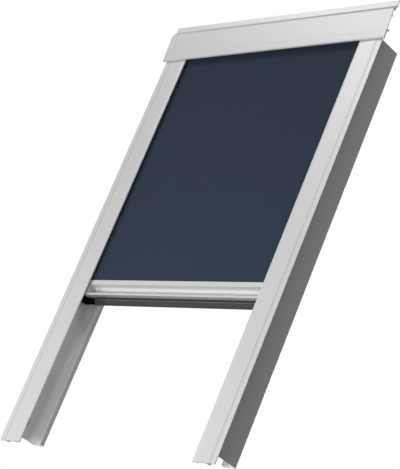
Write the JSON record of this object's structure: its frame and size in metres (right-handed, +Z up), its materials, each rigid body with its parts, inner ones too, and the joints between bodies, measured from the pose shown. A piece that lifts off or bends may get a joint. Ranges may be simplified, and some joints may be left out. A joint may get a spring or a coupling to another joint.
{
  "type": "skylight window blind",
  "caption": "Blackout blind for a roof window: dark fabric on a spring roller behind an aluminium cover, with a finger-lipped bottom bar that slides in deep side rails.",
  "frame": {"origin": "middle of the two rails' bottom ends, half way through the depth of the whole blind", "axes": "+X across the blind to the right as seen from the room, +Y from the room towards the glass, +Z up along the rails"},
  "size_m": [0.475, 0.0595, 0.7512],
  "materials": {
    "anodised_aluminium": "satin anodised, silver grey",
    "grey_plastic": "matt",
    "black_nylon": "matt",
    "dark_rubber": "matt",
    "pile": "brushed pile",
    "foam_tape": "foam",
    "bright_steel": "bright",
    "zinc_plated_steel": "zinc plated",
    "bronze": "sintered",
    "blackout_fabric": "coated plain weave, dark blue-grey"
  },
  "bodies": {
    "root": {"headrail_casing": "anodised_aluminium", "headrail_cover": "anodised_aluminium", "idle_pin": "bright_steel", "left_bracket_screw": "bright_steel", "left_connector_screw": "bright_steel", "left_end_stop": "dark_rubber", "left_inner_plate_screw": "bright_steel", "left_mounting_plate": "zinc_plated_steel", "left_outer_plate_screw": "bright_steel", "left_rail_channel": "anodised_aluminium", "left_rail_cover": "anodised_aluminium", "left_rail_seal": "pile", "left_rail_tape": "foam_tape", "left_roller_bracket": "zinc_plated_steel", "left_stop_screw": "bright_steel", "left_top_connector": "black_nylon", "right_bracket_screw": "bright_steel", "right_connector_screw": "bright_steel", "right_end_stop": "dark_rubber", "right_inner_plate_screw": "bright_steel", "right_mounting_plate": "zinc_plated_steel", "right_outer_plate_screw": "bright_steel", "right_rail_channel": "anodised_aluminium", "right_rail_cover": "anodised_aluminium", "right_rail_seal": "pile", "right_rail_tape": "foam_tape", "right_roller_bracket": "zinc_plated_steel", "right_stop_screw": "bright_steel", "right_top_connector": "black_nylon", "spring_anchor": "black_nylon", "spring_arbor": "bright_steel", "torsion_spring": "bright_steel"},
    "roller": {"roller_tube": "anodised_aluminium", "fabric_winding": "blackout_fabric", "idle_end_plug": "black_nylon", "drive_end_plug": "black_nylon", "idle_bush": "bronze", "drive_bush": "bronze"},
    "bar": {"bottom_bar": "anodised_aluminium", "fabric_sheet": "blackout_fabric", "fabric_spline": "black_nylon", "bar_seal": "dark_rubber", "bar_foam": "dark_rubber", "left_bar_end_cap": "grey_plastic", "left_guide_shoe": "black_nylon", "left_friction_pad": "pile", "left_pad_spring": "bright_steel", "left_shoe_screw": "bright_steel", "right_bar_end_cap": "grey_plastic", "right_guide_shoe": "black_nylon", "right_friction_pad": "pile", "right_pad_spring": "bright_steel", "right_shoe_screw": "bright_steel"}
  },
  "joints": [
    {"name": "bar_slide", "type": "slide", "parent": "root", "child": "bar", "axis": [0, 0, 1], "range_m": [-0.2058, 0.396], "deforming": ["fabric_sheet"]},
    {"name": "roller_turn", "type": "hinge", "parent": "root", "child": "roller", "pos_m": [0, -0.00525, 0.722], "axis": [-1, 0, 0], "range_deg": [-1081, 2079]}
  ],
  "couplings": [
    {"joint": "roller_turn", "follows": "bar_slide", "rad_per_m": 91.6}
  ]
}
